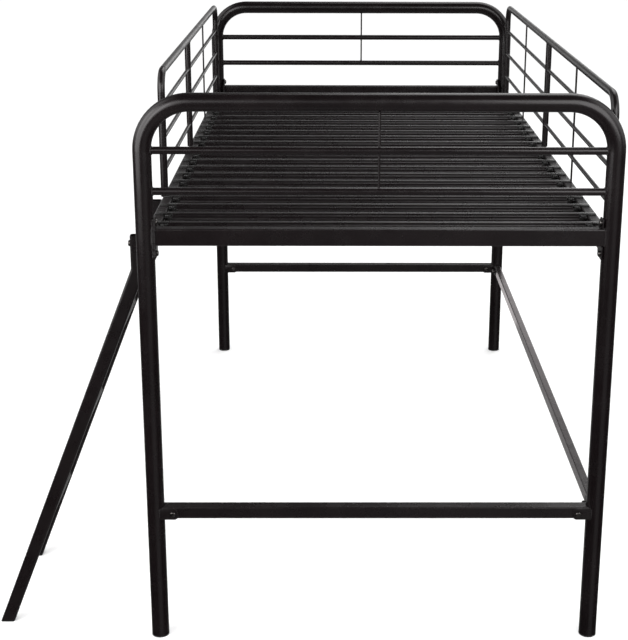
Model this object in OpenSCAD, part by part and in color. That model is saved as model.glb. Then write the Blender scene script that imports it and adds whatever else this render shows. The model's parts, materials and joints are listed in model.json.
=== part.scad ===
// Mid-height loft bed of black steel tube with a bolted side ladder.
// X runs across the bed, Y along it from the foot end frame to the head end frame, Z up.
// The ladder stands on the -X side near the -Y end. Millimetres.

/* [End frames] */
// Distance between the post centres across the bed
span_w = 1006; // [900:1:1450]
// Distance between the post centres along the bed
span_l = 1950; // [1900:1:2100]
// Height of the bed to the top of the end tubes
bed_h = 1281; // [1200:1:1500]
// Outer diameter of the posts and top tubes
post_d = 40; // [38:1:45]
// Wall of the posts and top tubes
post_wall = 1.5; // [1.2:0.1:2]
// Centreline radius of the two top corners
corner_r = 103; // [80:1:140]
// Diameter of the two cross rods of an end frame
rod_d = 16.5; // [12:0.5:22]
// Height of the upper cross rod
upper_rod_z = 1158; // [1140:1:1170]
// Height of the lower cross rod
lower_rod_z = 1069; // [1040:1:1090]
// Diameter of the thin wires
wire_d = 5; // [4:0.5:8]

/* [Rails and bars] */
// Depth of the end rails
end_rail_w = 25.4; // [20:0.1:30]
// Height of the end rails' section
end_rail_h = 38; // [30:1:45]
// Height of the top faces of the end rails
end_rail_top = 989; // [980:1:1000]
// Width of the side rails
side_rail_w = 25; // [20:1:25]
// Height of the side rails' section
side_rail_h = 40; // [30:1:40]
// Height of the top faces of the side rails
side_rail_top = 970; // [966:1:974]
// Side of the square lower bars
bar_side = 28.5; // [24:0.5:32]
// Width of the stringer
stringer_w = 20; // [16:1:24]
// Height of the stringer
stringer_h = 28.5; // [20:0.5:32]
// Height of the lower bars' and the stringer's centrelines
bar_z = 319; // [250:1:400]
// Wall of the square and rectangular tubes
tube_wall = 1.2; // [1:0.1:1.5]

/* [Slats] */
// Number of slats
slat_count = 22; // [12:1:22]
// Width of a slat
slat_w = 27; // [22:1:32]
// Height of a slat
slat_h = 18; // [14:1:24]
// Sheet thickness of a slat
slat_t = 2; // [1.5:0.1:2.5]
// Width of the flat top of a slat and of its plugs' tabs
slat_flat = 17; // [14:0.5:20]
// Height of the step from a slat's flat top down to its round shoulder
slat_drop = 4; // [3:0.5:6]
// Height of the slats' tops above the side rails
slat_rise = 4; // [3:0.5:6]
// Distance from the first slat to the foot end frame's centre
slat_start = 104; // [100:1:140]

/* [Guard rails] */
// Height of the guard rail tubes' centreline
guard_z = 1268.5; // [1240:0.5:1290]
// Diameter of the guard rail tubes
guard_d = 18; // [16:1:22]
// Centreline radius of the guard rail corners
guard_r = 45; // [28:1:60]
// Diameter of the guard rods
guard_rod_d = 10; // [8:0.5:12]
// Diameter of the middle posts
mid_post_d = 16.5; // [14:0.5:18]
// Distance of the back legs from the head end frame's centre
guard_back = 61; // [50:1:90]
// Distance of the right front leg from the foot end frame's centre
right_guard_front = 42; // [35:1:90]
// Distance of the left front leg from the foot end frame's centre
left_guard_front = 366; // [340:1:420]

/* [Ladder] */
// Depth of a ladder stile's section, across the bed
stile_a = 30; // [25:1:34]
// Width of a ladder stile's section, along the bed
stile_b = 25; // [20:1:30]
// Distance of the front stile's front face from the foot end frame's centre
ladder_front = 50; // [40:1:70]
// Distance between the stiles' centres
ladder_w = 322; // [280:1:340]
// Slope of the stiles from the vertical
ladder_tilt = 21.5; // [15:0.5:26]
// Height of the bend in the stiles
knee_z = 877; // [860:1:890]
// Height of the stiles' top ends
stile_top = 955; // [950:1:968]
// Vertical distance between the rungs
rung_pitch = 235; // [200:1:240]
// Diameter of the rungs
rung_d = 25; // [20:1:28]

/* [Hidden] */
$fn = 48;
eps = 0.01;
post_r = post_d / 2;
half_w = span_w / 2;
top_z = bed_h - post_r;
end_rail_z = end_rail_top - end_rail_h / 2;
// inner faces of the end plates and of the side rails
plate_t = 3;
rail_in = half_w - post_r;
rail_out = rail_in + side_rail_w;
side_rail_z = side_rail_top - side_rail_h / 2;
rail_gap = 4;
foot_t = 4;
plug_h = 18;
// plane of the guard rails
guard_x = half_w + 1;
guard_rod_z = [1032.5, 1110, 1188];
mid_y = span_l / 2;
right_wire_y = [525, 1430];
left_wire_y = [1430];
// bolts
bolt_d = 8;
bolt_head_d = 14;
bolt_head_h = 5;
tall_head_h = 9;
socket_d = 5.8;
socket_deep = 2.8;
insert_d = 11;
insert_l = 14;
bolt_grip = 20;
// corner plates
plate_y0 = -13;
plate_z0 = 921;
plate_z1 = 1011;
plate_arm = 75;
plate_leg = 30;
plate_r = 10;
corner_bolt_z = [932, 1001];
notch_gap = 1.5;
// lugs of the lower bars and of the stringer
lug_t = 3;
lug_h = 27;
lug_z = bar_z - 2;
lug_in = half_w - 52;
lug_bolt_x = half_w - 40.5;
bar_gap = 1;
bar_end = half_w - post_r / 2;
lug_y = -bar_side / 2;
stringer_lug_y = 58;
stringer_bolt_y = 40;
stringer_start = 27;
// slats
slat_top = side_rail_top + slat_rise;
slat_step = (span_l - 2 * slat_start) / (slat_count - 1);
channel_end = rail_in - 18;
// the round shoulder fills the width beside the flat top
shoulder_r = slat_w - slat_flat;
step_y = slat_w / 2 - slat_flat;
far_r = 3;
near_r = 1;
// plugs: a block between slat and rail, a tab on the rail, a tongue in the slat and a knob
plug_out = rail_in - 1;
plug_z = slat_top - 17;
plug_gap = 0.5;
block_z = slat_top - 7;
tab_out = rail_out - 4;
tab_t = slat_rise - 0.3;
tongue_l = 12;
knob_d = 11;
knob_x = rail_in - 10;
knob_y = step_y - plug_gap - knob_d / 2;
knob_z = slat_top - 2;
// ladder
spacer_t = 7;
spacer_d = 20;
stile_x = rail_out + spacer_t + stile_a / 2;
bend_r = 24;
bend_z = knee_z + bend_r * tan(ladder_tilt / 2);
bend_c = stile_x + bend_r;
slope_x = bend_c - bend_r * cos(ladder_tilt);
slope_z = bend_z - bend_r * sin(ladder_tilt);
slope_len = slope_z / cos(ladder_tilt) + stile_a;
cap_floor = 4;
cap_plug = 26;
foot_out = stile_x + knee_z * tan(ladder_tilt) + stile_a / 2 / cos(ladder_tilt);
ladder_bolt_z = 937;
stile_y = [ladder_front + stile_b / 2, ladder_front + stile_b / 2 + ladder_w];
// the origin is under the middle of the whole box, ladder included
shift_x = (foot_out - half_w - post_r) / 2;
shift_y = -span_l / 2;

black = [0.13, 0.12, 0.125];
soft_black = [0.07, 0.07, 0.07];
zinc = [0.55, 0.55, 0.56];

function two(n) = n < 10 ? str("0", n) : str(n);

// Moves the children from the bed's own datum, mid-width on the foot end frame, to the origin.
module placed() {
    translate([shift_x, shift_y, 0]) children();
}

// Repeats the children on the left and on the right.
module both_sides() {
    children();
    mirror([1, 0, 0]) children();
}

// Repeats the children at both end frames, facing the same way.
module both_frames() {
    children();
    translate([0, span_l, 0]) children();
}

// Repeats the children on the foot end frame and, facing the other way, on the head end frame.
module both_ends() {
    children();
    translate([0, span_l, 0]) mirror([0, 1, 0]) children();
}

module rod_x(length, d) {
    rotate([0, 90, 0]) cylinder(d = d, h = length, center = true);
}

module rod_y(y0, y1, d) {
    translate([0, y0, 0]) rotate([-90, 0, 0]) cylinder(d = d, h = y1 - y0);
}

// A run of points on an arc about the point (y, z), from angle a0 to angle a1.
function arc(y, z, r, a0, a1) = [for (i = [0:5])
    [y + r * cos(a0 + (a1 - a0) * i / 5), z + r * sin(a0 + (a1 - a0) * i / 5)]];

// A rectangle with round corners, from arcs worked out here.
module round_rect(w, h, r) {
    steps = 5;
    signs = [[1, 1], [-1, 1], [-1, -1], [1, -1]];
    polygon([for (c = [0:3]) for (i = [0:steps])
        [signs[c][0] * (w / 2 - r), signs[c][1] * (h / 2 - r)]
            + r * [cos(90 * (c + i / steps)), sin(90 * (c + i / steps))]]);
}

module tube_section(w, h, r, wall) {
    difference() {
        round_rect(w, h, r);
        round_rect(w - 2 * wall, h - 2 * wall, r - wall + 0.3);
    }
}

// A hoop in the XZ plane: two legs from z0, two quarter bends and the top run.
module hoop(half, z0, z1, bend, d) {
    for (side = [-1, 1])
        translate([side * half, 0, z0]) cylinder(d = d, h = z1 - bend - z0);
    for (side = [0, 1])
        mirror([side, 0, 0]) translate([half - bend, 0, z1 - bend])
            rotate([90, 0, 0]) rotate_extrude(angle = 90) translate([bend, 0]) circle(d = d);
    translate([0, 0, z1]) rod_x(2 * (half - bend), d);
}

// The holes of one end frame that take the threaded inserts.
module end_tube_holes() {
    both_sides() {
        for (z = corner_bolt_z)
            translate([half_w - post_r - 2, 0, z]) rotate([0, 90, 0]) cylinder(d = insert_d, h = post_r);
    }
}

// One end frame's hoop: both posts and the top tube, bent from a single tube.
module end_tube() {
    difference() {
        hoop(half_w, foot_t, top_z, corner_r, post_d);
        hoop(half_w, foot_t - 1, top_z, corner_r, post_d - 2 * post_wall);
        end_tube_holes();
    }
}

module front_end_tube() {
    color(black) placed() end_tube();
}

module back_end_tube() {
    color(black) placed() translate([0, span_l, 0]) mirror([0, 1, 0]) end_tube();
}

// A rod or rail between the posts, its ends shaped to the posts' round faces.
module between_posts() {
    difference() {
        children();
        hoop(half_w, foot_t, top_z, corner_r, post_d);
    }
}

module upper_rod() {
    between_posts() translate([0, 0, upper_rod_z]) rod_x(span_w, rod_d);
}

module lower_rod() {
    between_posts() translate([0, 0, lower_rod_z]) rod_x(span_w, rod_d);
}

module front_upper_rod() {
    color(black) placed() difference() {
        upper_rod();
        wire_line();
    }
}

module back_upper_rod() {
    color(black) placed() translate([0, span_l, 0]) difference() {
        upper_rod();
        wire_line();
    }
}

module front_lower_rod() {
    color(black) placed() lower_rod();
}

module back_lower_rod() {
    color(black) placed() translate([0, span_l, 0]) lower_rod();
}

module wire_line() {
    translate([0, 0, lower_rod_z]) cylinder(d = wire_d, h = top_z - lower_rod_z);
}

// The upright wire in the middle of an end frame, through the upper rod.
module centre_wire() {
    difference() {
        wire_line();
        translate([0, 0, lower_rod_z]) rod_x(rod_d * 4, rod_d);
        translate([0, 0, top_z]) rod_x(post_d * 2, post_d);
    }
}

module front_centre_wire() {
    color(black) placed() centre_wire();
}

module back_centre_wire() {
    color(black) placed() translate([0, span_l, 0]) centre_wire();
}

module end_rail() {
    between_posts() translate([-half_w, 0, end_rail_z]) rotate([90, 0, 90])
        linear_extrude(span_w) tube_section(end_rail_w, end_rail_h, 3, tube_wall);
}

module front_end_rail() {
    color(black) placed() end_rail();
}

module back_end_rail() {
    color(black) placed() translate([0, span_l, 0]) end_rail();
}

// The lower cross bar, its ends hollowed round the posts, bolted to a lug on each post.
module lower_bar() {
    difference() {
        translate([-bar_end, 0, bar_z]) rotate([90, 0, 90])
            linear_extrude(2 * bar_end) tube_section(bar_side, bar_side, 3, tube_wall);
        both_sides() translate([half_w, 0, 0]) cylinder(d = post_d + 2 * bar_gap, h = 2 * bar_z);
        for (side = [-1, 1])
            translate([side * lug_bolt_x, lug_y - 1, lug_z]) rotate([-90, 0, 0])
                cylinder(d = insert_d, h = bar_side / 2);
    }
}

module front_lower_bar() {
    color(black) placed() lower_bar();
}

module back_lower_bar() {
    color(black) placed() translate([0, span_l, 0]) lower_bar();
}

// A lug plate welded to the front of a post, with its round inner corners.
module lug() {
    lug_l = half_w - lug_in;
    difference() {
        translate([lug_in + lug_l / 2, lug_y, lug_z]) rotate([90, 0, 0])
            linear_extrude(lug_t) round_rect(lug_l, lug_h, 8);
        translate([half_w, 0, 0]) cylinder(d = post_d, h = 2 * bar_z);
        translate([half_w, lug_y - lug_t - 1, 0]) cube([post_d, lug_t + 2, 2 * bar_z]);
        translate([lug_bolt_x, 0, lug_z]) rotate([90, 0, 0]) cylinder(d = bolt_d, h = post_d);
    }
}

module lower_bar_lugs() {
    color(black) placed() both_frames() both_sides() lug();
}

// The long stringer between the two right posts.
module right_stringer() {
    color(black) placed() difference() {
        translate([half_w, stringer_start, bar_z]) rotate([-90, 0, 0])
            linear_extrude(span_l - 2 * stringer_start)
                tube_section(stringer_w, stringer_h, 3, tube_wall);
        both_ends() translate([half_w - stringer_w / 2 - 1, stringer_bolt_y, lug_z])
            rotate([0, 90, 0]) cylinder(d = insert_d, h = stringer_w / 2);
    }
}

// A lug plate behind a right post, on the inner side of the stringer.
module stringer_lug() {
    lug_x = half_w - stringer_w / 2 - lug_t;
    difference() {
        translate([lug_x, stringer_lug_y / 2, lug_z]) rotate([90, 0, 90])
            linear_extrude(lug_t) round_rect(stringer_lug_y, lug_h, 8);
        translate([half_w, 0, 0]) cylinder(d = post_d, h = 2 * bar_z);
        translate([lug_x - 1, -post_d, 0]) cube([lug_t + 2, post_d + 10, 2 * bar_z]);
        translate([lug_x - 1, stringer_bolt_y, lug_z]) rotate([0, 90, 0])
            cylinder(d = bolt_d, h = post_d);
    }
}

module stringer_lugs() {
    color(black) placed() both_ends() stringer_lug();
}

// The right side rail; its ends stop short of the posts.
module side_rail() {
    rail_start = post_r + rail_gap;
    translate([(rail_in + rail_out) / 2, rail_start, side_rail_z]) rotate([-90, 0, 0])
        linear_extrude(span_l - 2 * rail_start) tube_section(side_rail_w, side_rail_h, 3, tube_wall);
}

module right_side_rail() {
    color(black) placed() side_rail();
}

module left_side_rail() {
    color(black) placed() difference() {
        mirror([1, 0, 0]) side_rail();
        for (y = stile_y)
            translate([-rail_out - 1, y, ladder_bolt_z]) rotate([0, 90, 0])
                cylinder(d = insert_d, h = side_rail_w / 2);
    }
}

// The outline of an end plate: a leg down the post, a long arm on the side rail and a top ear.
module plate_outline() {
    arm_z = end_rail_z - end_rail_h / 2 - notch_gap - 2;
    ear_y = plate_leg - plate_r;
    polygon(concat(
        [[plate_y0, plate_z0], [ear_y, plate_z0], [plate_leg, plate_z0 + plate_r]],
        arc(plate_leg + plate_r, arm_z - plate_r, plate_r, 180, 90),
        [[plate_arm, arm_z], [plate_arm, side_rail_top - 8], [plate_leg + plate_r, side_rail_top + 2],
         [ear_y, plate_z1 - 6], [ear_y - 6, plate_z1], [plate_y0, plate_z1]]
    ));
}

// The plate that joins a side rail to a post, forked round the end rail.
module end_plate() {
    difference() {
        translate([rail_in - plate_t, 0, 0]) rotate([90, 0, 90]) linear_extrude(plate_t) plate_outline();
        translate([0, plate_y0 - 1, end_rail_z - end_rail_h / 2 - notch_gap])
            cube([half_w, end_rail_w / 2 - plate_y0 + 1 + notch_gap, end_rail_h + 2 * notch_gap]);
        for (z = corner_bolt_z)
            translate([0, 0, z]) rotate([0, 90, 0]) cylinder(d = bolt_d, h = half_w);
    }
}

module rail_end_plates() {
    color(black) placed() both_ends() both_sides() end_plate();
}

// The guard rail hoop stands on the side rail from leg y0 to leg y1.
module guard_tube(y0, y1) {
    half = (y1 - y0) / 2;
    translate([guard_x, (y0 + y1) / 2, 0]) rotate([0, 0, 90]) difference() {
        hoop(half, side_rail_top, guard_z, guard_r, guard_d);
        hoop(half, side_rail_top - 1, guard_z, guard_r, guard_d - 2 * tube_wall);
    }
}

module right_guard_tube() {
    color(black) placed() guard_tube(right_guard_front, span_l - guard_back);
}

module left_guard_tube() {
    color(black) placed() mirror([1, 0, 0]) guard_tube(left_guard_front, span_l - guard_back);
}

module guard_run(y0, y1) {
    translate([guard_x, 0, guard_z]) rod_y(y0, y1, guard_d);
}

module guard_rod_lines(y0, y1) {
    for (z = guard_rod_z)
        translate([guard_x, 0, z]) rod_y(y0, y1, guard_rod_d);
}

module guard_legs(y0, y1) {
    for (y = [y0, y1])
        translate([guard_x, y, side_rail_top]) cylinder(d = guard_d, h = guard_z - guard_r - side_rail_top);
}

module mid_post_line() {
    translate([guard_x, mid_y, side_rail_top]) cylinder(d = mid_post_d, h = guard_z - side_rail_top);
}

// The stout post at mid-length, up to the guard rail tube.
module mid_post() {
    difference() {
        mid_post_line();
        guard_run(mid_y - guard_d, mid_y + guard_d);
    }
}

module guard_mid_posts() {
    color(black) placed() both_sides() mid_post();
}

// The rods, each in two lengths: from the legs to the middle post.
module guard_rods(y0, y1) {
    difference() {
        guard_rod_lines(y0, y1);
        guard_legs(y0, y1);
        mid_post_line();
    }
}

module right_guard_rods() {
    color(black) placed() guard_rods(right_guard_front, span_l - guard_back);
}

module left_guard_rods() {
    color(black) placed() mirror([1, 0, 0]) guard_rods(left_guard_front, span_l - guard_back);
}

// A thin upright wire from the guard tube down to the side rail, in lengths between the rods.
module guard_wire(y) {
    difference() {
        translate([guard_x, y, side_rail_top]) cylinder(d = wire_d, h = guard_z - side_rail_top);
        guard_run(y - guard_d, y + guard_d);
        guard_rod_lines(y - guard_d, y + guard_d);
    }
}

module guard_wires() {
    color(black) placed() {
        for (y = right_wire_y) guard_wire(y);
        for (y = left_wire_y) mirror([1, 0, 0]) guard_wire(y);
    }
}

// The section of a slat: a channel, open below, with a flat top and a lower round shoulder.
module slat_section() {
    half = slat_w / 2;
    shoulder_z = -slat_drop - shoulder_r;
    in_r = shoulder_r - slat_t;
    outside = concat(
        [[half, -slat_h]],
        arc(half - far_r, -far_r, far_r, 0, 90),
        arc(step_y + near_r, -near_r, near_r, 90, 180),
        arc(step_y, shoulder_z, shoulder_r, 90, 180),
        [[-half, -slat_h]]
    );
    inside = concat(
        [[slat_t - half, -slat_h]],
        arc(step_y, shoulder_z, in_r, 180, 90),
        [[step_y + slat_t, -slat_drop - slat_t], [step_y + slat_t, -slat_t]],
        arc(half - far_r, -far_r, far_r - slat_t, 90, 0),
        [[half - slat_t, -slat_h]]
    );
    polygon(concat(outside, inside));
}

// One slat: the channel between the plugs.
module slat(index) {
    y = slat_start + (index - 1) * slat_step;
    color(black) placed() translate([-channel_end, y, slat_top]) rotate([90, 0, 90])
        linear_extrude(2 * channel_end) slat_section();
}

// The plastic plug that carries a slat's end on the side rail.
module slat_plug() {
    half = slat_w / 2;
    translate([channel_end + eps, -half, plug_z])
        cube([plug_out - channel_end, slat_w, block_z - plug_z]);
    translate([channel_end + eps, step_y, block_z - eps])
        cube([plug_out - channel_end, slat_flat - near_r, side_rail_top + tab_t - block_z]);
    translate([plug_out - 1, step_y, side_rail_top + eps])
        cube([tab_out - plug_out + 1, slat_flat - near_r, tab_t - 2 * eps]);
    translate([knob_x, knob_y, plug_z]) cylinder(d = knob_d, h = knob_z - plug_z);
    translate([channel_end - tongue_l, step_y + slat_t + plug_gap, plug_z])
        cube([tongue_l + 1, slat_flat - 2 * slat_t - 2 * plug_gap, slat_top - slat_t - plug_gap - plug_z]);
}

module slat_plugs() {
    for (i = [0:slat_count - 1])
        translate([0, slat_start + i * slat_step, 0]) slat_plug();
}

module right_slat_plugs() {
    color(soft_black) placed() slat_plugs();
}

module left_slat_plugs() {
    color(soft_black) placed() mirror([1, 0, 0]) slat_plugs();
}

// A stile's run, with its section made larger or smaller by grow on every side.
module stile_run(grow) {
    a = stile_a + 2 * grow;
    b = stile_b + 2 * grow;
    r = 5 + grow;
    translate([-stile_x, 0, bend_z]) linear_extrude(stile_top - bend_z) round_rect(a, b, r);
    translate([-bend_c, 0, bend_z]) rotate([-90, 0, 0])
        rotate_extrude(angle = ladder_tilt) translate([bend_r, 0]) round_rect(a, b, r);
    translate([-slope_x, 0, slope_z]) rotate([0, 180 + ladder_tilt, 0])
        linear_extrude(slope_len) round_rect(a, b, r);
}

module stile(y) {
    difference() {
        translate([0, y, 0]) stile_run(0);
        translate([0, y, 0]) stile_run(-tube_wall);
        translate([-2 * foot_out, 0, -2 * stile_a]) cube([2 * foot_out, 2 * mid_y, 2 * stile_a + cap_floor]);
        translate([-2 * foot_out, y, ladder_bolt_z]) rotate([0, 90, 0])
            cylinder(d = bolt_d, h = 2 * foot_out);
    }
}

module front_ladder_stile() {
    color(black) placed() stile(stile_y[0]);
}

module rear_ladder_stile() {
    color(black) placed() stile(stile_y[1]);
}

// A rung between the stiles, its centre on their centreline.
module rung(index) {
    z = index * rung_pitch;
    x = stile_x + (knee_z - z) * tan(ladder_tilt);
    color(black) placed() translate([-x, 0, z]) difference() {
        rod_y(stile_y[0] + stile_b / 2, stile_y[1] - stile_b / 2, rung_d);
        rod_y(stile_y[0], stile_y[1], rung_d - 2 * tube_wall);
    }
}

// The sloping part of a stile between two heights, grown on every side.
module slope_piece(y, grow, z0, z1) {
    reach = 3 * stile_a;
    intersection() {
        translate([-stile_x - knee_z * tan(ladder_tilt), y, 0]) rotate([0, ladder_tilt, 0])
            translate([0, 0, -reach]) linear_extrude(2 * reach)
                round_rect(stile_a + 2 * grow, stile_b + 2 * grow, 5 + grow);
        translate([-2 * foot_out, y - stile_b, z0]) cube([2 * foot_out, 2 * stile_b, z1 - z0]);
    }
}

// The plastic plug in a stile's lower end, flat on the floor.
module ladder_foot(y) {
    slope_piece(y, 0, 0, cap_floor);
    slope_piece(y, -tube_wall, 0, cap_plug);
}

module ladder_feet() {
    color(soft_black) placed() for (y = stile_y) ladder_foot(y);
}

// The plastic plug in a post's lower end.
module post_foot() {
    translate([half_w, 0, 0]) {
        cylinder(d = post_d, h = foot_t);
        cylinder(d = post_d - 2 * post_wall, h = foot_t + plug_h);
    }
}

module post_feet() {
    color(soft_black) placed() both_ends() both_sides() post_foot();
}

// A button-head bolt along +Z: its seat is at z = 0 and its head below.
module bolt(grip, head_h = bolt_head_h) {
    difference() {
        union() {
            translate([0, 0, -head_h])
                cylinder(d1 = bolt_head_d - 5, d2 = bolt_head_d, h = head_h);
            translate([0, 0, -eps]) cylinder(d = bolt_d, h = grip);
        }
        translate([0, 0, -head_h - 1]) cylinder(d = socket_d, h = socket_deep + 1, $fn = 6);
    }
}

module corner_bolts() {
    color(black) placed() both_ends() both_sides() for (z = corner_bolt_z)
        translate([rail_in - plate_t, 0, z]) rotate([0, 90, 0]) bolt(bolt_grip);
}

// The bolts of the lower bars' lugs and of the stringer's lugs.
module lug_bolts() {
    color(black) placed() {
        both_frames() both_sides()
            translate([lug_bolt_x, lug_y - lug_t, lug_z]) rotate([-90, 0, 0]) bolt(bolt_grip);
        both_ends() translate([half_w - stringer_w / 2 - lug_t, stringer_bolt_y, lug_z])
            rotate([0, 90, 0]) bolt(stringer_w - 2, tall_head_h);
    }
}

// The long bolts through the ladder's stiles into the left side rail.
module ladder_bolts() {
    color(black) placed() for (y = stile_y)
        translate([-stile_x - stile_a / 2, y, ladder_bolt_z]) rotate([0, 90, 0])
            bolt(stile_a + spacer_t + side_rail_w / 2);
}

// The round spacers between the ladder's stiles and the side rail.
module ladder_spacers() {
    color(soft_black) placed() for (y = stile_y)
        translate([-rail_out - spacer_t, y, ladder_bolt_z]) rotate([0, 90, 0]) difference() {
            cylinder(d = spacer_d, h = spacer_t);
            translate([0, 0, -1]) cylinder(d = bolt_d, h = spacer_t + 2);
        }
}

// A threaded insert along +Z, closed round the bolt.
module insert() {
    difference() {
        cylinder(d = insert_d, h = insert_l - 4);
        translate([0, 0, -1]) cylinder(d = bolt_d, h = insert_l);
    }
}

module threaded_inserts() {
    color(zinc) placed() {
        both_ends() both_sides() for (z = corner_bolt_z)
            translate([rail_in + eps, 0, z]) rotate([0, 90, 0]) insert();
        both_frames() both_sides()
            translate([lug_bolt_x, lug_y + eps, lug_z]) rotate([-90, 0, 0]) insert();
        both_ends() translate([half_w - stringer_w / 2 + eps, stringer_bolt_y, lug_z])
            rotate([0, 90, 0]) insert();
        for (y = stile_y)
            translate([-rail_out + eps, y, ladder_bolt_z]) rotate([0, 90, 0]) insert();
    }
}

front_end_tube();
back_end_tube();
front_upper_rod();
back_upper_rod();
front_lower_rod();
back_lower_rod();
front_centre_wire();
back_centre_wire();
front_end_rail();
back_end_rail();
front_lower_bar();
back_lower_bar();
lower_bar_lugs();
right_stringer();
stringer_lugs();
left_side_rail();
right_side_rail();
rail_end_plates();
left_guard_tube();
right_guard_tube();
guard_mid_posts();
left_guard_rods();
right_guard_rods();
guard_wires();
left_slat_plugs();
right_slat_plugs();
front_ladder_stile();
rear_ladder_stile();
rung(1);  // rung_1
rung(2);  // rung_2
rung(3);  // rung_3
ladder_feet();
post_feet();
corner_bolts();
lug_bolts();
ladder_bolts();
ladder_spacers();
threaded_inserts();
for (i = [1:slat_count])
    slat(i);
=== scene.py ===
"""The looks of a mid-height steel loft bed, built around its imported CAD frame."""

import json
import math

import bmesh
import bpy
from mathutils import Matrix, Vector
from mathutils.noise import noise as lumps


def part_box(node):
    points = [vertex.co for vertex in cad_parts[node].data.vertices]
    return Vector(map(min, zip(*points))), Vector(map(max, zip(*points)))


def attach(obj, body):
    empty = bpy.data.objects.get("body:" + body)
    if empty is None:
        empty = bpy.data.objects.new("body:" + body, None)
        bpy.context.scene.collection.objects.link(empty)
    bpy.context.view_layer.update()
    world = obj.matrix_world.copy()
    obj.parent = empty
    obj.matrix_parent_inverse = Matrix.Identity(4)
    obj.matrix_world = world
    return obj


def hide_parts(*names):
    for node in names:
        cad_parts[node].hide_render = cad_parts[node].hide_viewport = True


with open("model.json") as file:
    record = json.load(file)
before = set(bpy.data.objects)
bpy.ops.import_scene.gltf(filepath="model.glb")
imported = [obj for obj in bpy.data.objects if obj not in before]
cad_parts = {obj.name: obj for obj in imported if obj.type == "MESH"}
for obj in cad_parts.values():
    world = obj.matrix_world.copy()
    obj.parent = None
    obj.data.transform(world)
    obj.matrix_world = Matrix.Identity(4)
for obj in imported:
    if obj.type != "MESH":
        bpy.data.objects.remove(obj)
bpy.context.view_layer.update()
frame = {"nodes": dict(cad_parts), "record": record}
MM = 0.001
UP = Vector((0, 0, 1))
ACROSS = Vector((1, 0, 0))
ALONG = Vector((0, 1, 0))

# ---------------------------------------------------------------- places, from the frame

# mid-width of the bed, centre of the foot end frame, and the posts' radius and distance from mid-width
low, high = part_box("front_end_tube")
BED_X = (low.x + high.x) / 2
FOOT_Y = (low.y + high.y) / 2
POST_R = (high.y - low.y) / 2
HALF_W = (high.x - low.x) / 2 - POST_R
# height of the end frames' top tubes, at their centre
TOP_Z = high.z - POST_R
# centre of the head end frame
low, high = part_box("back_end_tube")
HEAD_Y = (low.y + high.y) / 2

# ---------------------------------------------------------------- sizes that the nodes' boxes don't give

# heights of the corner bolts and of the guard rails' middle rods
CORNER_BOLTS = (0.932, 1.001)
ROD_MIDDLE = 1.110
# the guard rails' thin wires: distances from the foot end frame, and radius
LEFT_WIRES = (1.430,)
RIGHT_WIRES = (0.525, 1.430)
WIRE_R = 2.5 * MM
# sheet of the end plates and of the lugs
PLATE_T = 3 * MM
# distances of the lower bars' and the stringer's bolts from a post's centre
LUG_BOLT = 40.5 * MM
STRINGER_BOLT = 40 * MM
# a slat: how many, the flat top's width, the step down to the shoulder, the sheet and two corner radii
SLAT_COUNT = 22
SLAT_FLAT = 17 * MM
SLAT_DROP = 4 * MM
SLAT_SHEET = 2 * MM
SLAT_FAR_R = 3 * MM
SLAT_NEAR_R = 1 * MM
# a bolt: its shank and dome in radius, its heads' and its edge's height
SHANK_R = 4 * MM
DOME_R = 7 * MM
DOME_EDGE = 1.2 * MM
HEAD_H = 5 * MM
TALL_HEAD_H = 9 * MM
# a bolt's hexagon socket: width, depth and the width of a ring in its floor
SOCKET_W = 5.8 * MM
SOCKET_DEPTH = 2.6 * MM
SOCKET_FLOOR = 3.6 * MM
BOLT_SIDES = 36


def middle(node):
    """A CAD node's centre and half size."""
    near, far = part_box(node)
    return (near + far) / 2, (far - near) / 2


def bed(x, y, z):
    """A point from the bed's own datum: mid-width, foot end frame, floor."""
    return Vector((BED_X + x, FOOT_Y + y, z))


# ---------------------------------------------------------------- camera

# place from the bed's datum, turns in radians, focal length and sensor in millimetres
CAMERA_PLACE = (-0.0981, -2.8196, 1.7411)
CAMERA_PITCH = 0.2891
CAMERA_YAW = -0.0062
CAMERA_ROLL = 0.0028
CAMERA_LENS = 76.23
CAMERA_SENSOR = 36
CAMERA_SHIFT = (-0.0422, -0.0838)


def add_camera():
    """A camera before the foot end, a little left of the middle, looking slightly down."""
    data = bpy.data.cameras.new("camera")
    data.sensor_width = CAMERA_SENSOR
    data.lens = CAMERA_LENS
    data.shift_x, data.shift_y = CAMERA_SHIFT
    data.clip_end = 100
    camera = bpy.data.objects.new("camera", data)
    bpy.context.scene.collection.objects.link(camera)
    turn = Matrix.Rotation(CAMERA_YAW, 4, "Z")
    tilt = Matrix.Rotation(math.pi / 2 - CAMERA_PITCH, 4, "X")
    roll = Matrix.Rotation(CAMERA_ROLL, 4, "Z")
    camera.matrix_world = Matrix.Translation(bed(*CAMERA_PLACE)) @ turn @ tilt @ roll
    bpy.context.scene.camera = camera


# ---------------------------------------------------------------- shader helpers

def node_tree(name):
    """A new material, its node tree and its shader."""
    material = bpy.data.materials.new(name)
    material.use_nodes = True
    tree = material.node_tree
    return material, tree, tree.nodes["Principled BSDF"]


def noise(tree, place, scale, detail=4, roughness=0.5):
    """Soft noise from 0 to 1 over the surface."""
    texture = tree.nodes.new("ShaderNodeTexNoise")
    texture.inputs["Scale"].default_value = scale
    texture.inputs["Detail"].default_value = detail
    texture.inputs["Roughness"].default_value = roughness
    tree.links.new(place, texture.inputs["Vector"])
    return texture.outputs["Fac"]


def ramp(tree, value, stops):
    """A colour from a value, by stops of (position, colour)."""
    node = tree.nodes.new("ShaderNodeValToRGB")
    element = node.color_ramp.elements
    for i, (position, colour) in enumerate(stops):
        stop = element[i] if i < 2 else element.new(position)
        stop.position = position
        stop.color = (*colour, 1)
    tree.links.new(value, node.inputs["Fac"])
    return node.outputs["Color"]


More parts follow.
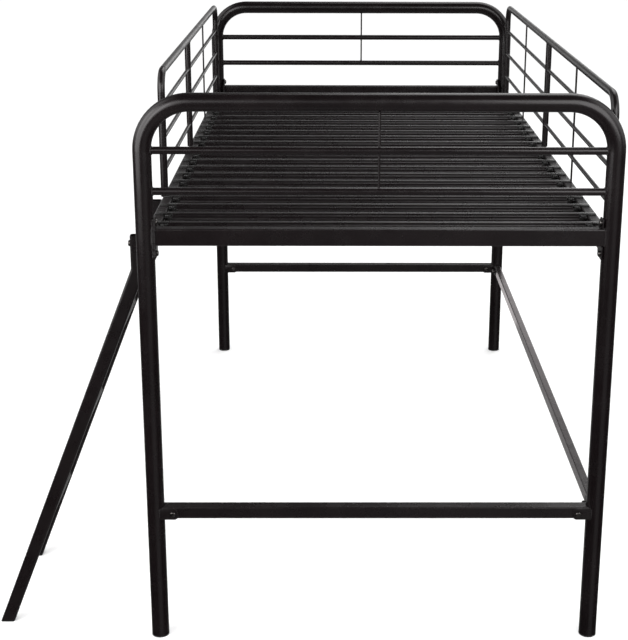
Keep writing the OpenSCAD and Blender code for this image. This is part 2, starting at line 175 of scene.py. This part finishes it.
def spread(tree, value, low, high, start=0.3, stop=0.7):
    """Maps a value that runs from start to stop onto low to high."""
    node = tree.nodes.new("ShaderNodeMapRange")
    node.inputs["From Min"].default_value = start
    node.inputs["From Max"].default_value = stop
    node.inputs["To Min"].default_value = low
    node.inputs["To Max"].default_value = high
    tree.links.new(value, node.inputs["Value"])
    return node.outputs["Result"]


def combine(tree, operation, first, second):
    """A sum or product of two values, each a number or a socket."""
    node = tree.nodes.new("ShaderNodeMath")
    node.operation = operation
    for socket, value in zip(node.inputs, (first, second)):
        if isinstance(value, (int, float)):
            socket.default_value = value
        else:
            tree.links.new(value, socket)
    return node.outputs[0]


def bump(tree, height, strength, distance, normal=None):
    """A bumpy normal from a height, on top of another normal if there is one."""
    node = tree.nodes.new("ShaderNodeBump")
    node.inputs["Strength"].default_value = strength
    node.inputs["Distance"].default_value = distance
    tree.links.new(height, node.inputs["Height"])
    if normal:
        tree.links.new(normal, node.inputs["Normal"])
    return node.outputs["Normal"]


def blend(tree, factor, under, over):
    """Lays the colour over on the colour under where factor is 1."""
    node = tree.nodes.new("ShaderNodeMix")
    node.data_type = "RGBA"
    tree.links.new(factor, node.inputs["Factor"])
    tree.links.new(under, node.inputs["A"])
    node.inputs["B"].default_value = (*over, 1)
    return node.outputs["Result"]


# ---------------------------------------------------------------- light and floor

# what the paint reflects straight behind the bed: brightness against the sine of the elevation
BACKDROP = [
    (-1, 0.15), (-0.5, 0.25), (-0.38, 0.45), (-0.27, 0.30), (-0.17, 0.15), (-0.05, 0.6), (0, 1.0),
    (0.12, 1.0), (0.18, 0.2), (0.27, 0.12), (0.42, 0.14), (0.56, 0.34), (0.85, 0.36), (1, 0.12)
]
# the same against the sine of the direction to the right
ACROSS_BACK = [(-1, 0.9), (-0.4, 0.9), (-0.2, 0.3), (-0.1, 0.38), (0.08, 0.82), (0.2, 1.0), (1, 1.0)]
# soft panels on the camera's side: azimuth, elevation, inner and outer radius in degrees, strength
PANELS = [
    (-22, 15, 8, 22, 2.3), (24, -22, 8, 34, 0.22), (0, -90, 20, 60, 0.2),
    (-92, 28, 10, 40, 1.5), (92, 28, 10, 40, 1.3)
]
# what the paint reflects from every other direction
STUDIO_DARK = 0.02
# strength of the white that lights the floor and the paint's own colour
PLAIN_WHITE = 1.1
BACKDROP_GAIN = 1.3
CARD_WARMTH = (1, 0.93, 0.94)
FLOOR_HALF = 30
FLOOR_GREY = 0.93


def add_area(name, place, aim, size, radiance):
    """A rectangular softbox of the given radiance."""
    data = bpy.data.lights.new(name, "AREA")
    data.shape = "RECTANGLE"
    data.size, data.size_y = size
    data.energy = radiance * math.pi * size[0] * size[1]
    lamp = bpy.data.objects.new(name, data)
    bpy.context.scene.collection.objects.link(lamp)
    lamp.location = place
    lamp.rotation_euler = (Vector(aim) - Vector(place)).to_track_quat("-Z", "Y").to_euler()
    return lamp


def add_card(name, place, aim, size, radiance, nodes):
    """A white card that shows only in the given CAD nodes."""
    lamp = add_area(name, place, aim, size, radiance)
    lamp.data.color = CARD_WARMTH
    lamp.visible_camera = False
    shown = bpy.data.collections.new(name)
    for node in nodes:
        shown.objects.link(frame["nodes"][node])
    lamp.light_linking.receiver_collection = shown


def panel(tree, direction, azimuth, elevation, inner, outer, strength):
    """A soft round panel in a studio direction; azimuth 0 is the camera's side."""
    azimuth, elevation = math.radians(azimuth), math.radians(elevation)
    level = math.cos(elevation)
    dot = tree.nodes.new("ShaderNodeVectorMath")
    dot.operation = "DOT_PRODUCT"
    tree.links.new(direction, dot.inputs[0])
    dot.inputs[1].default_value = (
        math.sin(azimuth) * level, -math.cos(azimuth) * level, math.sin(elevation)
    )
    edges = math.cos(math.radians(outer)), math.cos(math.radians(inner))
    glow = spread(tree, dot.outputs["Value"], 0, strength, *edges)
    glow.node.interpolation_type = "SMOOTHSTEP"
    return glow


def add_world():
    """White light for the floor and for diffuse light, and a dark studio with a backdrop and soft
    panels for what the paint reflects."""
    world = bpy.data.worlds.new("studio")
    bpy.context.scene.world = world
    world.use_nodes = True
    tree = world.node_tree
    tree.nodes.clear()
    out = tree.nodes.new("ShaderNodeOutputWorld")
    plain = tree.nodes.new("ShaderNodeBackground")
    plain.inputs["Color"].default_value = (1, 1, 1, 1)
    plain.inputs["Strength"].default_value = PLAIN_WHITE
    direction = tree.nodes.new("ShaderNodeTexCoord").outputs["Generated"]
    split = tree.nodes.new("ShaderNodeSeparateXYZ")
    tree.links.new(direction, split.inputs[0])
    height = spread(tree, split.outputs["Z"], 0, 1, -1, 1)
    back = ramp(tree, height, [((sine + 1) / 2, (grey, grey, grey)) for sine, grey in BACKDROP])
    facing = spread(tree, split.outputs["Y"], 0, 1, 0.45, 0.85)
    sideways = spread(tree, split.outputs["X"], 0, 1, -1, 1)
    slant = ramp(tree, sideways, [((sine + 1) / 2, (grey, grey, grey)) for sine, grey in ACROSS_BACK])
    back = combine(tree, "MULTIPLY", back, combine(tree, "MULTIPLY", facing, slant))
    back = combine(tree, "MULTIPLY", back, BACKDROP_GAIN)
    total = combine(tree, "ADD", back, STUDIO_DARK)
    for values in PANELS:
        total = combine(tree, "ADD", total, panel(tree, direction, *values))
    studio = tree.nodes.new("ShaderNodeBackground")
    tree.links.new(total, studio.inputs["Strength"])
    studio.inputs["Color"].default_value = (1, 1, 1, 1)
    chosen = tree.nodes.new("ShaderNodeMixShader")
    tree.links.new(tree.nodes.new("ShaderNodeLightPath").outputs["Is Glossy Ray"], chosen.inputs["Fac"])
    tree.links.new(plain.outputs[0], chosen.inputs[1])
    tree.links.new(studio.outputs[0], chosen.inputs[2])
    tree.links.new(chosen.outputs[0], out.inputs["Surface"])


def add_floor():
    """A pale floor that takes shadows and doesn't show in the paint."""
    mesh = bpy.data.meshes.new("floor")
    half = FLOOR_HALF
    corners = [(-half, -half, 0), (half, -half, 0), (half, half, 0), (-half, half, 0)]
    mesh.from_pydata(corners, [], [(0, 1, 2, 3)])
    floor = bpy.data.objects.new("floor", mesh)
    floor.visible_glossy = False
    bpy.context.scene.collection.objects.link(floor)
    material, tree, shader = node_tree("pale_floor")
    shader.inputs["Base Color"].default_value = (FLOOR_GREY, FLOOR_GREY, FLOOR_GREY, 1)
    shader.inputs["Roughness"].default_value = 1
    shader.inputs["Specular IOR Level"].default_value = 0
    mesh.materials.append(material)


# ---------------------------------------------------------------- materials

# the powder coat's colours: two tones that drift, and dust
COAT_DARK = (0.0030, 0.0016, 0.0019)
COAT_LIGHT = (0.0052, 0.0032, 0.0036)
COAT_DUST = (0.06, 0.055, 0.055)
# the slat plugs' and the feet's plastic, and the bolts' and the inserts' plating, as two tones each
PLUG_TONES = (0.0030, 0.0026, 0.0026), (0.0055, 0.0048, 0.0048)
FOOT_TONES = (0.006, 0.006, 0.006), (0.010, 0.010, 0.010)
BOLT_TONES = (0.07, 0.064, 0.062), (0.15, 0.14, 0.135)
INSERT_TONES = (0.45, 0.45, 0.47), (0.6, 0.6, 0.62)


def powder_coat(name, rough, peel=0.07):
    """Warm black powder coat: orange peel, slow drift of colour and gloss, a few specks of dust."""
    material, tree, shader = node_tree(name)
    place = tree.nodes.new("ShaderNodeTexCoord").outputs["Object"]
    drift = ramp(tree, noise(tree, place, 7, 3), [(0.3, COAT_DARK), (0.7, COAT_LIGHT)])
    specks = spread(tree, noise(tree, place, 420, 2), 0, 1, 0.78, 0.82)
    tree.links.new(blend(tree, specks, drift, COAT_DUST), shader.inputs["Base Color"])
    patches = noise(tree, place, 23, 5, 0.6)
    tree.links.new(spread(tree, patches, rough - 0.04, rough + 0.05), shader.inputs["Roughness"])
    fine = bump(tree, noise(tree, place, 700, 2, 0.4), peel / 2, 0.0001)
    skin = bump(tree, noise(tree, place, 170, 2, 0.4), peel, 0.0003, fine)
    tree.links.new(skin, shader.inputs["Normal"])
    shader.inputs["Specular Tint"].default_value = (1, 0.975, 0.98, 1)
    return material


def moulded_plastic(name, dark, light, rough):
    """Moulded plastic with a fine grain and a slow drift of tone and gloss."""
    material, tree, shader = node_tree(name)
    place = tree.nodes.new("ShaderNodeTexCoord").outputs["Object"]
    tone = ramp(tree, noise(tree, place, 30, 4), [(0.3, dark), (0.7, light)])
    tree.links.new(tone, shader.inputs["Base Color"])
    gloss = spread(tree, noise(tree, place, 80, 3), rough - 0.06, rough + 0.06)
    tree.links.new(gloss, shader.inputs["Roughness"])
    tree.links.new(bump(tree, noise(tree, place, 700, 2), 0.25, 0.0002), shader.inputs["Normal"])
    return material


def plated_steel(name, dark, light, rough):
    """Plated or oxidised steel with a cloudy tone and a faint tooth."""
    material, tree, shader = node_tree(name)
    place = tree.nodes.new("ShaderNodeTexCoord").outputs["Object"]
    tone = ramp(tree, noise(tree, place, 60, 5), [(0.3, dark), (0.7, light)])
    tree.links.new(tone, shader.inputs["Base Color"])
    gloss = spread(tree, noise(tree, place, 200, 4), rough - 0.08, rough + 0.08)
    tree.links.new(gloss, shader.inputs["Roughness"])
    tree.links.new(bump(tree, noise(tree, place, 2000, 2), 0.1, 0.0001), shader.inputs["Normal"])
    shader.inputs["Metallic"].default_value = 1
    return material


# a material for every slot of the record, with its roughness
MATERIALS = {
    "end_frame": powder_coat("frame_coat", 0.25),
    "lower_frame": powder_coat("bar_coat", 0.27),
    "side_rail": powder_coat("rail_coat", 0.27),
    "guard_rail": powder_coat("guard_coat", 0.25),
    "ladder": powder_coat("ladder_coat", 0.28),
    "slat": powder_coat("slat_coat", 0.28, 0.015),
    "slat_plug": moulded_plastic("plug_plastic", *PLUG_TONES, 0.27),
    "foot_plastic": moulded_plastic("foot_plastic", *FOOT_TONES, 0.5),
    "bolt": plated_steel("black_oxide", *BOLT_TONES, 0.24),
    "insert": plated_steel("zinc_plate", *INSERT_TONES, 0.35),
}


def dress_nodes():
    """Gives every CAD node the material of its slot in the record."""
    for part in frame["record"]["subparts"]:
        mesh = frame["nodes"][part["node"]].data
        mesh.materials.clear()
        mesh.materials.append(MATERIALS[part["material_slot"]])


# ---------------------------------------------------------------- pieces

def add_piece(name, form, slot, nodes=(), sharp=35):
    """Turns a bmesh into a named piece on the bed, standing for the given CAD nodes."""
    mesh = bpy.data.meshes.new(name)
    bmesh.ops.recalc_face_normals(form, faces=form.faces[:])
    form.to_mesh(mesh)
    form.free()
    mesh.shade_smooth()
    mesh.set_sharp_from_angle(angle=math.radians(sharp))
    mesh.materials.append(MATERIALS[slot])
    made = bpy.data.objects.new(name, mesh)
    bpy.context.scene.collection.objects.link(made)
    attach(made, "root")
    if nodes:
        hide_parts(*nodes)


# ---------------------------------------------------------------- weld beads

# length of one ripple, the sizes of the rings that make it, and the corners of a ring
RIPPLE = 1.7 * MM
RIPPLE_SHAPE = (1.0, 1.08, 1.02, 0.84)
BEAD_SIDES = 8
# how far from a joint the search for a bead's place starts
AWAY = 60 * MM
# the beads' radii
FRAME_BEAD = 1.9 * MM
FRAME_WIRE_BEAD = 0.9 * MM
ROUGH_BEAD = 2.6 * MM
LUG_BEAD = 1.3 * MM
STRINGER_BEAD = 1.5 * MM
LEG_BEAD = 1.5 * MM
GUARD_POST_BEAD = 1.3 * MM
GUARD_ROD_BEAD = 1.2 * MM
GUARD_WIRE_BEAD = 0.8 * MM
RUNG_BEAD = 1.6 * MM


def even_steps(path, closed):
    """Points spaced evenly along a path, as many to each ripple as it has rings."""
    points = path + [path[0]] if closed else path
    reach = [0]
    for first, second in zip(points, points[1:]):
        reach.append(reach[-1] + (second - first).length)
    count = len(RIPPLE_SHAPE) * max(3, round(reach[-1] / RIPPLE))
    steps = []
    at = 0
    for i in range(count if closed else count + 1):
        goal = reach[-1] * i / count
        while at < len(reach) - 2 and reach[at + 1] < goal:
            at += 1
        part = (goal - reach[at]) / max(reach[at + 1] - reach[at], 1e-9)
        steps.append(points[at].lerp(points[at + 1], part))
    return steps


def add_bead(form, path, outward, radius, closed=True, rough=0.28):
    """A weld bead of overlapping ripples along a path, a little uneven in size and place."""
    steps = even_steps(path, closed)
    count = len(steps)
    rings = []
    for i, place in enumerate(steps):
        before = steps[i - 1] if closed or i else place
        after = steps[(i + 1) % count] if closed or i < count - 1 else place
        run = (after - before).normalized()
        side = run.cross(outward).normalized()
        rise = side.cross(run)
        size = radius * RIPPLE_SHAPE[i % len(RIPPLE_SHAPE)] * (1 + rough * lumps(place * 330))
        if not closed:
            size *= min(1, 0.35 + 0.2 * min(i, count - 1 - i))
        core = place + 0.25 * radius * lumps(place * 210 + ACROSS) * side
        ring = []
        for k in range(BEAD_SIDES):
            turn = 2 * math.pi * k / BEAD_SIDES
            ring.append(form.verts.new(core + size * (math.cos(turn) * side + math.sin(turn) * rise)))
        rings.append(ring)
    for i in range(count if closed else count - 1):
        near, far = rings[i], rings[(i + 1) % count]
        for k in range(BEAD_SIDES):
            other = (k + 1) % BEAD_SIDES
            form.faces.new((near[k], near[other], far[other], far[k]))
    if not closed:
        form.faces.new(rings[0])
        form.faces.new(rings[-1])


def on_tube(place, axis, radius):
    """How far a ray runs before it meets a round tube."""
    def hit(start, along):
        offset = start - place
        offset -= offset.dot(axis) * axis
        run = along - along.dot(axis) * axis
        half = offset.dot(run)
        rest = offset.dot(offset) - radius ** 2
        return (-half - math.sqrt(max(half ** 2 - run.dot(run) * rest, 0))) / run.dot(run)
    return hit


def on_plane(place, normal):
    """How far a ray runs before it meets a flat face."""
    def hit(start, along):
        return (place - start).dot(normal) / along.dot(normal)
    return hit


def add_ring(form, start, along, radius, hit, size, span=(0, 360)):
    """The bead round the end of a round bar that runs from start to a tube or a flat face."""
    side = ALONG if abs(along.x) > 0.5 else ACROSS
    other = along.cross(side)
    closed = span == (0, 360)
    path = []
    for i in range(48 if closed else 49):
        turn = math.radians(span[0] + (span[1] - span[0]) * i / 48)
        place = start + radius * (math.cos(turn) * side + math.sin(turn) * other)
        path.append(place + hit(place, along) * along)
    add_bead(form, path, along, size, closed)


def add_frame_welds():
    """The rods, the wire and the end rail of each end frame, where they meet the bent tube."""
    for end, y in (("front", FOOT_Y), ("back", HEAD_Y)):
        form = bmesh.new()
        heights = []
        for level in ("upper", "lower"):
            centre, half = middle(end + "_" + level + "_rod")
            heights.append((centre.z, half.z))
            for side in (-1, 1):
                post = on_tube(Vector((BED_X + side * HALF_W, y, 0)), UP, POST_R)
                add_ring(form, centre, side * ACROSS, half.z, post, FRAME_BEAD)
        wire = middle(end + "_centre_wire")[1].x
        for z, radius in heights:
            rod = on_tube(Vector((BED_X, y, z)), ACROSS, radius)
            add_ring(form, Vector((BED_X, y, z + AWAY)), -UP, wire, rod, FRAME_WIRE_BEAD)
        for z, radius in (heights[0], (TOP_Z, POST_R)):
            tube = on_tube(Vector((BED_X, y, z)), ACROSS, radius)
            add_ring(form, Vector((BED_X, y, z - AWAY)), UP, wire, tube, FRAME_WIRE_BEAD)
        for side in (-1, 1):
            add_rail_bead(form, end, y, side)
        add_piece(end + "_frame_welds", form, "end_frame")


def add_rail_bead(form, end, y, side):
    """The bead round an end rail's rectangular end. Front left, a rough double bead
    runs up the end plate's edge."""
    centre, half = middle(end + "_end_rail")
    post = on_tube(Vector((BED_X + side * HALF_W, y, 0)), UP, POST_R)
    corner = 3 * MM
    path = []
    for quarter in range(4):
        flip_y = 1 if quarter in (0, 3) else -1
        flip_z = 1 if quarter < 2 else -1
        for i in range(7):
            turn = math.radians(90 * quarter + 15 * i)
            place = Vector((
                BED_X,
                y + flip_y * (half.y - corner) + corner * math.cos(turn),
                centre.z + flip_z * (half.z - corner) + corner * math.sin(turn),
            ))
            path.append(place + post(place, side * ACROSS) * side * ACROSS)
    add_bead(form, path, side * ACROSS, FRAME_BEAD)
    if end == "front" and side < 0:
        near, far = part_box("rail_end_plates")
        x = near.x + PLATE_T - 1.5 * MM
        for shift in (0, 4 * MM):
            edge = [Vector((x - shift, near.y, near.z + MM)), Vector((x - shift, near.y, far.z - MM))]
            add_bead(form, edge, -ALONG, ROUGH_BEAD, False, 0.6)


def add_lower_welds():
    """The upright beads between the posts and the lugs of the lower bars and the stringer."""
    form = bmesh.new()
    near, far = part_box("lower_bar_lugs")
    low = near.z + 1.5 * MM
    high = far.z - 1.5 * MM
    bar = middle("front_lower_bar")[1].y
    for y in (FOOT_Y, HEAD_Y):
        for side in (-1, 1):
            for back in (0, 3 * MM):
                reach = math.sqrt(POST_R ** 2 - (bar + back) ** 2)
                x = BED_X + side * (HALF_W - reach)
                path = [Vector((x, y - bar - back, low)), Vector((x, y - bar - back, high))]
                add_bead(form, path, -ALONG, LUG_BEAD, False)
    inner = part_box("stringer_lugs")[0].x
    offset = BED_X + HALF_W - inner
    for y, facing in ((FOOT_Y, 1), (HEAD_Y, -1)):
        at = y + facing * math.sqrt(POST_R ** 2 - offset ** 2)
        path = [Vector((inner, at, low)), Vector((inner, at, high))]
        add_bead(form, path, -ACROSS, STRINGER_BEAD, False)
    add_piece("lower_welds", form, "lower_frame")


def add_guard_welds(word, side, wires):
    """The legs, middle post, rods and wires of one guard rail."""
    form = bmesh.new()
    near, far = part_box(word + "_guard_tube")
    half = (far.x - near.x) / 2
    x = (near.x + far.x) / 2
    top = far.z - half
    legs = (near.y + half, far.y - half)
    post_y = (FOOT_Y + HEAD_Y) / 2
    post_r = middle("guard_mid_posts")[1].y
    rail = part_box(word + "_side_rail")[1].z
    rail_top = on_plane(Vector((x, 0, rail)), UP)
    run = on_tube(Vector((x, 0, top)), ALONG, half)
    over = math.degrees(math.acos(4 * MM / half))
    for y, radius in ((legs[0], half), (legs[1], half), (post_y, post_r)):
        start = Vector((x, y, rail + AWAY))
        span = (over, 360 - over) if side > 0 else (over - 180, 180 - over)
        add_ring(form, start, -UP, radius, rail_top, LEG_BEAD, span)
    add_ring(form, Vector((x, post_y, top - AWAY)), UP, post_r, run, GUARD_POST_BEAD)
    rods = middle(word + "_guard_rods")
    rod_r = rods[1].x
    heights = (rods[0].z - rods[1].z + rod_r, ROD_MIDDLE, rods[0].z + rods[1].z - rod_r)
    for z in heights:
        for y, radius in ((legs[0], half), (legs[1], half), (post_y, post_r)):
            tube = on_tube(Vector((x, y, 0)), UP, radius)
            if y < legs[1]:
                add_ring(form, Vector((x, y + AWAY, z)), -ALONG, rod_r, tube, GUARD_ROD_BEAD)
            if y > legs[0]:
                add_ring(form, Vector((x, y - AWAY, z)), ALONG, rod_r, tube, GUARD_ROD_BEAD)
    for y in wires:
        for z in heights:
            rod = on_tube(Vector((x, FOOT_Y + y, z)), ALONG, rod_r)
            for way in (-1, 1):
                start = Vector((x, FOOT_Y + y, z + way * AWAY))
                add_ring(form, start, -way * UP, WIRE_R, rod, GUARD_WIRE_BEAD)
        add_ring(form, Vector((x, FOOT_Y + y, top - AWAY)), UP, WIRE_R, run, GUARD_WIRE_BEAD)
        add_ring(form, Vector((x, FOOT_Y + y, rail + AWAY)), -UP, WIRE_R, rail_top, GUARD_WIRE_BEAD)
    add_piece(word + "_guard_welds", form, "guard_rail")


def add_ladder_welds():
    """The beads round the rungs' ends on the stiles."""
    form = bmesh.new()
    faces = (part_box("front_ladder_stile")[1].y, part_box("rear_ladder_stile")[0].y)
    for rung in ("rung_1", "rung_2", "rung_3"):
        centre, half = middle(rung)
        for y, way in zip(faces, (-1, 1)):
            face = on_plane(Vector((0, y, 0)), ALONG)
            add_ring(form, centre, way * ALONG, half.x, face, RUNG_BEAD)
    add_piece("ladder_welds", form, "ladder")


# ---------------------------------------------------------------- plugs, plates and lugs

def soften(name, node, slot, width, least=40):
    """A copy of a CAD node with its outer edges rounded over, standing for that node."""
    form = bmesh.new()
    form.from_mesh(frame["nodes"][node].data)
    bmesh.ops.remove_doubles(form, verts=form.verts[:], dist=1e-6)
    bmesh.ops.dissolve_limit(
        form, angle_limit=math.radians(1), verts=form.verts[:], edges=form.edges[:]
    )
    edges = []
    for edge in form.edges:
        if len(edge.link_faces) == 2 and edge.is_convex:
            if math.degrees(edge.calc_face_angle()) > least:
                edges.append(edge)
    bmesh.ops.bevel(
        form, geom=edges, offset=width, offset_type="OFFSET", segments=2, profile=0.6,
        affect="EDGES", clamp_overlap=True
    )
    bmesh.ops.remove_doubles(form, verts=form.verts[:], dist=1e-6)
    add_piece(name, form, slot, [node], 50)


# ---------------------------------------------------------------- slats

def arc(y, z, radius, first, last, steps):
    """Points on an arc in a slat's section, between two directions in degrees."""
    points = []
    for i in range(steps + 1):
        turn = math.radians(first + (last - first) * i / steps)
        points.append((y + radius * math.cos(turn), z + radius * math.sin(turn)))
    return points


def slat_section(width, height):
    """A slat's folded sheet: a flat top and, a step lower, a smooth round shoulder."""
    half = width / 2
    step = half - SLAT_FLAT
    radius = width - SLAT_FLAT
    shoulder = -SLAT_DROP - radius
    far = half - SLAT_FAR_R
    inner = step + SLAT_SHEET
    outside = [(half, -height)]
    outside += arc(far, -SLAT_FAR_R, SLAT_FAR_R, 0, 90, 6)
    outside += arc(step + SLAT_NEAR_R, -SLAT_NEAR_R, SLAT_NEAR_R, 90, 180, 4)
    outside += arc(step, shoulder, radius, 90, 180, 16)
    outside += [(-half, -height), (SLAT_SHEET - half, -height)]
    inside = arc(step, shoulder, radius - SLAT_SHEET, 180, 90, 16)
    inside += [(inner, -SLAT_DROP - SLAT_SHEET), (inner, -SLAT_SHEET)]
    inside += arc(far, -SLAT_FAR_R, SLAT_FAR_R - SLAT_SHEET, 90, 0, 4)
    return outside + inside + [(half - SLAT_SHEET, -height)]


def add_slat(number):
    """A slat with a finely rounded section, standing for the CAD's faceted one."""
    node = "slat_%02d" % number
    near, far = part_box(node)
    centre, half = middle(node)
    form = bmesh.new()
    ends = []
    for x in (near.x, far.x):
        ends.append([
            form.verts.new((x, centre.y + y, far.z + z))
            for y, z in slat_section(2 * half.y, 2 * half.z)
        ])
    count = len(ends[0])
    for k in range(count):
        other = (k + 1) % count
        form.faces.new((ends[0][k], ends[0][other], ends[1][other], ends[1][k]))
    form.faces.new(ends[0])
    form.faces.new(ends[1])
    add_piece("slat_bar_%02d" % number, form, "slat", [node], 32)


# ---------------------------------------------------------------- bolts

def round_edge(radius, turn):
    """The distance from a circle's middle to its edge, the same in every direction."""
    return radius


def hexagon_edge(width, turn):
    """The distance from a hexagon's middle to its edge, in the direction turn."""
    part = (turn + math.pi / 6) % (math.pi / 3) - math.pi / 6
    return width / 2 / math.cos(part)


def add_bolt(form, seat, axis, grip, head):
    """A domed bolt with a hexagon socket. It points along axis and its head stands before seat."""
    side = axis.orthogonal().normalized()
    other = axis.cross(side)
    floor = SOCKET_DEPTH - head
    # from the socket's floor out and over the dome to the shank's end: edge, size, place along the axis
    rings = [(hexagon_edge, SOCKET_FLOOR, floor), (hexagon_edge, SOCKET_W, floor)]
    rings.append((hexagon_edge, SOCKET_W, -head))
    for i in range(7):
        lift = math.radians(15 * i)
        size = SHANK_R + (DOME_R - SHANK_R) * math.sin(lift)
        rings.append((round_edge, size, -DOME_EDGE - (head - DOME_EDGE) * math.cos(lift)))
    rings += [(round_edge, DOME_R, -0.3 * MM), (round_edge, DOME_R - 0.3 * MM, 0)]
    rings += [(round_edge, SHANK_R, 0), (round_edge, SHANK_R, grip)]
    loops = []
    for edge, size, along in rings:
        loop = []
        for k in range(BOLT_SIDES):
            turn = 2 * math.pi * k / BOLT_SIDES
            spoke = math.cos(turn) * side + math.sin(turn) * other
            loop.append(form.verts.new(seat + along * axis + edge(size, turn) * spoke))
        loops.append(loop)
    for near, far in zip(loops, loops[1:]):
        for k in range(BOLT_SIDES):
            after = (k + 1) % BOLT_SIDES
            form.faces.new((near[k], near[after], far[after], far[k]))
    form.faces.new(loops[0])
    form.faces.new(loops[-1])


def add_corner_screws():
    """The eight bolts through the side rails' end plates."""
    form = bmesh.new()
    for y in (FOOT_Y, HEAD_Y):
        for z in CORNER_BOLTS:
            for side in (-1, 1):
                seat = Vector((BED_X + side * (HALF_W - POST_R - PLATE_T), y, z))
                add_bolt(form, seat, side * ACROSS, 20 * MM, HEAD_H)
    add_piece("corner_screws", form, "bolt", ["corner_bolts"], 40)


def add_lug_screws():
    """The four bolts of the lower bars and the two taller ones of the stringer."""
    form = bmesh.new()
    lug_z = middle("lower_bar_lugs")[0].z
    front = middle("front_lower_bar")[1].y + PLATE_T
    for y in (FOOT_Y, HEAD_Y):
        for side in (-1, 1):
            seat = Vector((BED_X + side * (HALF_W - LUG_BOLT), y - front, lug_z))
            add_bolt(form, seat, ALONG, 20 * MM, HEAD_H)
    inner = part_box("stringer_lugs")[0].x
    for y, facing in ((FOOT_Y, 1), (HEAD_Y, -1)):
        seat = Vector((inner, y + facing * STRINGER_BOLT, lug_z))
        add_bolt(form, seat, ACROSS, 18 * MM, TALL_HEAD_H)
    add_piece("lug_screws", form, "bolt", ["lug_bolts"], 40)


def add_ladder_screws():
    """The bolt through each stile into the side rail."""
    form = bmesh.new()
    near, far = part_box("ladder_bolts")
    for stile in ("front_ladder_stile", "rear_ladder_stile"):
        seat = Vector((near.x + HEAD_H, middle(stile)[0].y, middle("ladder_bolts")[0].z))
        add_bolt(form, seat, ACROSS, far.x - seat.x, HEAD_H)
    add_piece("ladder_screws", form, "bolt", ["ladder_bolts"], 40)


# ---------------------------------------------------------------- the scene

bpy.context.scene.view_settings.view_transform = "Standard"
add_camera()
add_world()
add_area("right_softbox", bed(1.3, -1.7, 1.85), bed(0.1, 0, 1.1), (1.8, 1.6), 3.5)
add_area("left_softbox", bed(-1.6, -0.9, 1.5), bed(-0.4, 0, 1.1), (1.7, 1.6), 3.3)
add_area("back_softbox", bed(1.75, 4.0, 5.5), bed(0.6, 0, 1.2), (3.6, 4.7), 2.1)
# the white wall and floor behind the bed, as the stringer's top and inner side show them
add_card("back_card", bed(1.0, 4.2, 1.2), bed(0.5, 1.5, 0.45), (1.6, 1.0), 1.2, ["right_stringer"])
add_card("low_card", bed(-0.1, 3.3, 0.01), bed(-0.1, 3.3, 1), (2.4, 2.2), 1.05, ["right_stringer"])
add_card("near_card", bed(-0.1, 1.4, 0.01), bed(-0.1, 1.4, 1), (2.4, 1.6), 0.24, ["right_stringer"])
add_floor()
dress_nodes()
add_frame_welds()
add_lower_welds()
add_guard_welds("left", -1, LEFT_WIRES)
add_guard_welds("right", 1, RIGHT_WIRES)
add_ladder_welds()
add_corner_screws()
add_lug_screws()
add_ladder_screws()
for number in range(1, SLAT_COUNT + 1):
    add_slat(number)
soften("left_plugs", "left_slat_plugs", "slat_plug", 0.9 * MM)
soften("right_plugs", "right_slat_plugs", "slat_plug", 0.9 * MM)
soften("end_plates", "rail_end_plates", "side_rail", 0.5 * MM)
soften("bar_lugs", "lower_bar_lugs", "lower_frame", 0.5 * MM)
